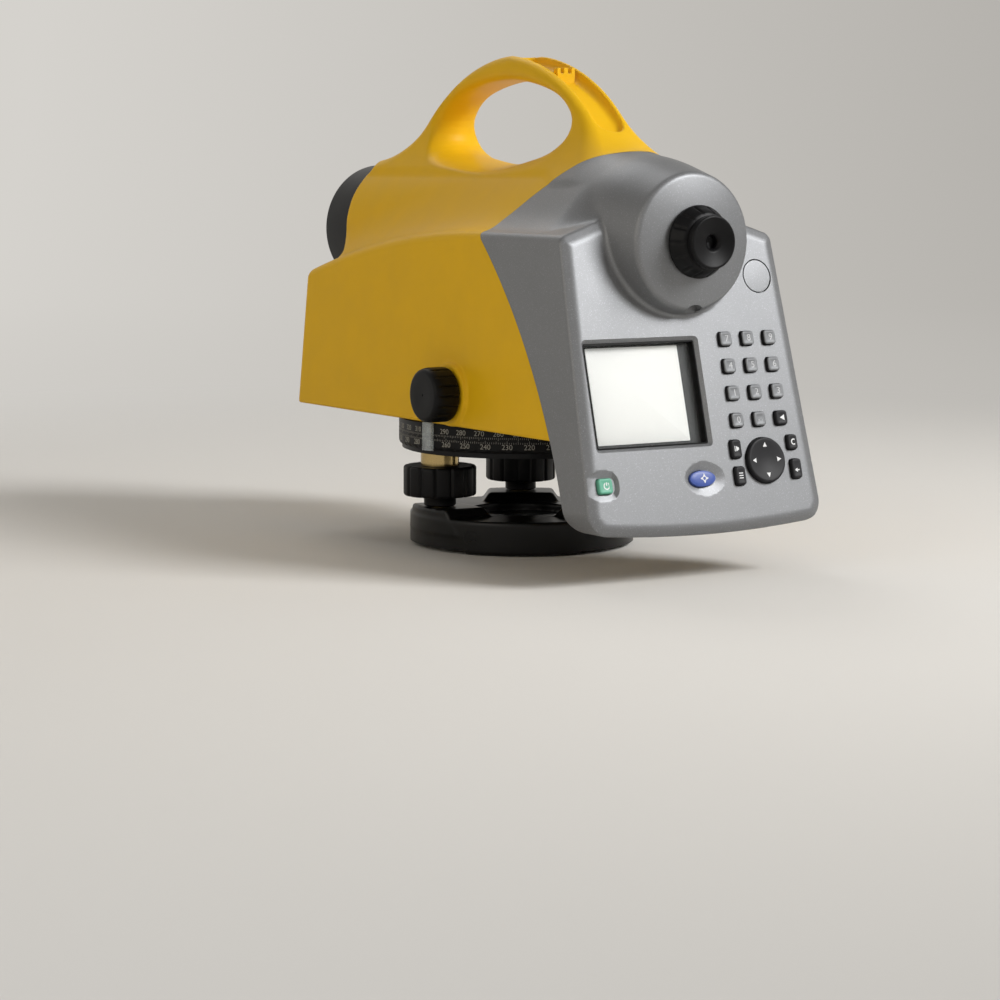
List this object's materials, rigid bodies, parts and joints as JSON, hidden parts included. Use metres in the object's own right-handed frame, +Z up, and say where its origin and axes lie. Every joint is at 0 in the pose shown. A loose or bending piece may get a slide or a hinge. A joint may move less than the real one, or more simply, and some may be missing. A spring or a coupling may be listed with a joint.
{
  "type": "digital level",
  "caption": "Electronic surveying level on a three-screw base: shell with looped handle, telescope across the top, sloping key panel with screen, graduated circle and side knobs.",
  "frame": {"origin": "centre of the tripod thread at the underside of the base plate", "axes": "+Z up along the vertical axis, keys and eyepiece towards -Y, objective towards +Y"},
  "size_m": [0.155, 0.293, 0.235],
  "materials": {
    "bare_aluminium": "machined",
    "black_metal": "semi-gloss",
    "black_plastic": "satin",
    "blue_key": "matt",
    "brass": "satin",
    "circuit_board": "coated",
    "dark_key": "matt",
    "dark_metal": "black anodised",
    "glass": "polished",
    "green_key": "matt",
    "grey_shell": "satin, fine speckle",
    "number_key": "matt",
    "screen": "black frame, pale screen",
    "steel": "fine turned",
    "yellow_shell": "satin paint"
  },
  "bodies": {
    "base": {"base_plate": "black_metal", "spring_plate": "steel", "thread_bush": "steel"},
    "foot_left": {"foot_screw_left": "brass", "foot_knob_left": "black_plastic"},
    "foot_front": {"foot_screw_front": "brass", "foot_knob_front": "black_plastic"},
    "foot_rear": {"foot_screw_rear": "brass", "foot_knob_rear": "black_plastic"},
    "head": {"tribrach_head": "dark_metal", "axis_spindle": "steel"},
    "circle": {"circle_ring": "black_plastic"},
    "clutch": {"clutch_wheel": "brass"},
    "instrument": {"main_housing": "yellow_shell", "bottom_cover": "dark_metal", "rear_housing": "grey_shell", "housing_screws": "steel", "circle_magnifier": "glass", "sunshade": "black_plastic", "objective_lens": "glass", "telescope_tube": "dark_metal", "compensator_frame": "bare_aluminium", "beam_splitter": "glass", "sensor_board": "circuit_board", "reticle_cell": "dark_metal", "main_board": "circuit_board", "display_module": "screen", "display_window": "glass", "circular_level": "glass", "level_cover": "grey_shell"},
    "tangent": {"tangent_knob_left": "black_plastic", "tangent_knob_right": "black_plastic", "tangent_worm": "steel"},
    "focus_drive": {"focus_knob": "black_plastic"},
    "focus_carriage": {"focus_cell": "bare_aluminium", "focus_lens": "glass"},
    "pendulum": {"compensator_pendulum": "brass"},
    "dioptre": {"dioptre_ring": "black_plastic"},
    "eyepiece": {"ocular": "dark_metal"},
    "trigger": {"trigger_button": "black_plastic"},
    "battery": {"battery_pack": "black_plastic"},
    "key_0_body": {"key_0": "number_key"},
    "key_1_body": {"key_1": "number_key"},
    "key_2_body": {"key_2": "number_key"},
    "key_3_body": {"key_3": "number_key"},
    "key_4_body": {"key_4": "number_key"},
    "key_5_body": {"key_5": "number_key"},
    "key_6_body": {"key_6": "number_key"},
    "key_7_body": {"key_7": "number_key"},
    "key_8_body": {"key_8": "number_key"},
    "key_9_body": {"key_9": "number_key"},
    "key_point_body": {"key_point": "number_key"},
    "key_back_body": {"key_back": "dark_key"},
    "key_star_body": {"key_star": "dark_key"},
    "key_func_body": {"key_func": "dark_key"},
    "key_alpha_body": {"key_alpha": "dark_key"},
    "key_enter_body": {"key_enter": "dark_key"},
    "key_power_body": {"key_power": "green_key"},
    "key_measure_body": {"key_measure": "blue_key"},
    "key_arrows_body": {"key_arrows": "dark_key"}
  },
  "joints": [
    {"name": "foot_left_turn", "type": "hinge", "parent": "base", "child": "foot_left", "pos_m": [-0.04586, 0.00184, 0.03], "axis": [0, 0, 1], "range_deg": [-1100, 1100]},
    {"name": "foot_front_turn", "type": "hinge", "parent": "base", "child": "foot_front", "pos_m": [0.02453, 0.0388, 0.03], "axis": [0, 0, 1], "range_deg": [-1100, 1100]},
    {"name": "foot_rear_turn", "type": "hinge", "parent": "base", "child": "foot_rear", "pos_m": [0.02134, -0.04064, 0.03], "axis": [0, 0, 1], "range_deg": [-1100, 1100]},
    {"name": "level_lift", "type": "slide", "parent": "base", "child": "head", "axis": [0, 0, 1], "range_m": [-0.003, 0.003]},
    {"name": "circle_turn", "type": "hinge", "parent": "head", "child": "circle", "pos_m": [0, 0, 0.055], "axis": [0, 0, 1], "continuous": true},
    {"name": "coarse_turn", "type": "hinge", "parent": "head", "child": "clutch", "pos_m": [0, 0, 0.0774], "axis": [0, 0, 1], "continuous": true},
    {"name": "fine_turn", "type": "hinge", "parent": "clutch", "child": "instrument", "pos_m": [0, 0, 0.0774], "axis": [0, 0, 1], "continuous": true},
    {"name": "tangent_turn", "type": "hinge", "parent": "instrument", "child": "tangent", "pos_m": [0, -0.034, 0.0774], "axis": [1, 0, 0], "continuous": true},
    {"name": "focus_turn", "type": "hinge", "parent": "instrument", "child": "focus_drive", "pos_m": [0.07, 0.02, 0.1165], "axis": [1, 0, 0], "range_deg": [-118, 118]},
    {"name": "focus_slide", "type": "slide", "parent": "instrument", "child": "focus_carriage", "axis": [0, 1, 0], "range_m": [-0.0099, 0.0099]},
    {"name": "pendulum_swing", "type": "hinge", "parent": "instrument", "child": "pendulum", "pos_m": [0, -0.054, 0.168], "axis": [1, 0, 0], "range_deg": [-0.5, 0.5]},
    {"name": "dioptre_turn", "type": "hinge", "parent": "instrument", "child": "dioptre", "pos_m": [0, -0.146, 0.15], "axis": [0, -1, 0], "range_deg": [-160, 160]},
    {"name": "ocular_slide", "type": "slide", "parent": "instrument", "child": "eyepiece", "axis": [0, -1, 0], "range_m": [-0.0025, 0.0025]},
    {"name": "trigger_press", "type": "slide", "parent": "instrument", "child": "trigger", "axis": [-1, 0, 0], "range_m": [0, 0.0015], "stiffness_N_per_m": 600, "springref_m": -0.0008},
    {"name": "battery_out", "type": "slide", "parent": "instrument", "child": "battery", "axis": [1, 0, 0], "range_m": [0, 0.05]},
    {"name": "key_0_press", "type": "slide", "parent": "instrument", "child": "key_0_body", "axis": [0, 0.9655, -0.2605], "range_m": [0, 0.0011], "stiffness_N_per_m": 500, "springref_m": -0.0008},
    {"name": "key_1_press", "type": "slide", "parent": "instrument", "child": "key_1_body", "axis": [0, 0.9655, -0.2605], "range_m": [0, 0.0011], "stiffness_N_per_m": 500, "springref_m": -0.0008},
    {"name": "key_2_press", "type": "slide", "parent": "instrument", "child": "key_2_body", "axis": [0, 0.9655, -0.2605], "range_m": [0, 0.0011], "stiffness_N_per_m": 500, "springref_m": -0.0008},
    {"name": "key_3_press", "type": "slide", "parent": "instrument", "child": "key_3_body", "axis": [0, 0.9655, -0.2605], "range_m": [0, 0.0011], "stiffness_N_per_m": 500, "springref_m": -0.0008},
    {"name": "key_4_press", "type": "slide", "parent": "instrument", "child": "key_4_body", "axis": [0, 0.9655, -0.2605], "range_m": [0, 0.0011], "stiffness_N_per_m": 500, "springref_m": -0.0008},
    {"name": "key_5_press", "type": "slide", "parent": "instrument", "child": "key_5_body", "axis": [0, 0.9655, -0.2605], "range_m": [0, 0.0011], "stiffness_N_per_m": 500, "springref_m": -0.0008},
    {"name": "key_6_press", "type": "slide", "parent": "instrument", "child": "key_6_body", "axis": [0, 0.9655, -0.2605], "range_m": [0, 0.0011], "stiffness_N_per_m": 500, "springref_m": -0.0008},
    {"name": "key_7_press", "type": "slide", "parent": "instrument", "child": "key_7_body", "axis": [0, 0.9655, -0.2605], "range_m": [0, 0.0011], "stiffness_N_per_m": 500, "springref_m": -0.0008},
    {"name": "key_8_press", "type": "slide", "parent": "instrument", "child": "key_8_body", "axis": [0, 0.9655, -0.2605], "range_m": [0, 0.0011], "stiffness_N_per_m": 500, "springref_m": -0.0008},
    {"name": "key_9_press", "type": "slide", "parent": "instrument", "child": "key_9_body", "axis": [0, 0.9655, -0.2605], "range_m": [0, 0.0011], "stiffness_N_per_m": 500, "springref_m": -0.0008},
    {"name": "key_point_press", "type": "slide", "parent": "instrument", "child": "key_point_body", "axis": [0, 0.9655, -0.2605], "range_m": [0, 0.0011], "stiffness_N_per_m": 500, "springref_m": -0.0008},
    {"name": "key_back_press", "type": "slide", "parent": "instrument", "child": "key_back_body", "axis": [0, 0.9655, -0.2605], "range_m": [0, 0.0011], "stiffness_N_per_m": 500, "springref_m": -0.0008},
    {"name": "key_star_press", "type": "slide", "parent": "instrument", "child": "key_star_body", "axis": [0, 0.9655, -0.2605], "range_m": [0, 0.0011], "stiffness_N_per_m": 500, "springref_m": -0.0008},
    {"name": "key_func_press", "type": "slide", "parent": "instrument", "child": "key_func_body", "axis": [0, 0.9655, -0.2605], "range_m": [0, 0.0011], "stiffness_N_per_m": 500, "springref_m": -0.0008},
    {"name": "key_alpha_press", "type": "slide", "parent": "instrument", "child": "key_alpha_body", "axis": [0, 0.9655, -0.2605], "range_m": [0, 0.0011], "stiffness_N_per_m": 500, "springref_m": -0.0008},
    {"name": "key_enter_press", "type": "slide", "parent": "instrument", "child": "key_enter_body", "axis": [0, 0.9655, -0.2605], "range_m": [0, 0.0011], "stiffness_N_per_m": 500, "springref_m": -0.0008},
    {"name": "key_power_press", "type": "slide", "parent": "instrument", "child": "key_power_body", "axis": [0, 0.9655, -0.2605], "range_m": [0, 0.0011], "stiffness_N_per_m": 500, "springref_m": -0.0008},
    {"name": "key_measure_press", "type": "slide", "parent": "instrument", "child": "key_measure_body", "axis": [0, 0.9655, -0.2605], "range_m": [0, 0.0011], "stiffness_N_per_m": 500, "springref_m": -0.0008},
    {"name": "key_arrows_press", "type": "slide", "parent": "instrument", "child": "key_arrows_body", "axis": [0, 0.9655, -0.2605], "range_m": [0, 0.0011], "stiffness_N_per_m": 500, "springref_m": -0.0008}
  ],
  "couplings": [
    {"joint": "foot_left_turn", "follows": "level_lift", "rad_per_m": 6283.2},
    {"joint": "foot_front_turn", "follows": "level_lift", "rad_per_m": 6283.2},
    {"joint": "foot_rear_turn", "follows": "level_lift", "rad_per_m": 6283.2},
    {"joint": "tangent_turn", "follows": "fine_turn", "ratio": 72},
    {"joint": "focus_turn", "follows": "focus_slide", "rad_per_m": -200},
    {"joint": "ocular_slide", "follows": "dioptre_turn", "m_per_rad": 0.00088419}
  ]
}
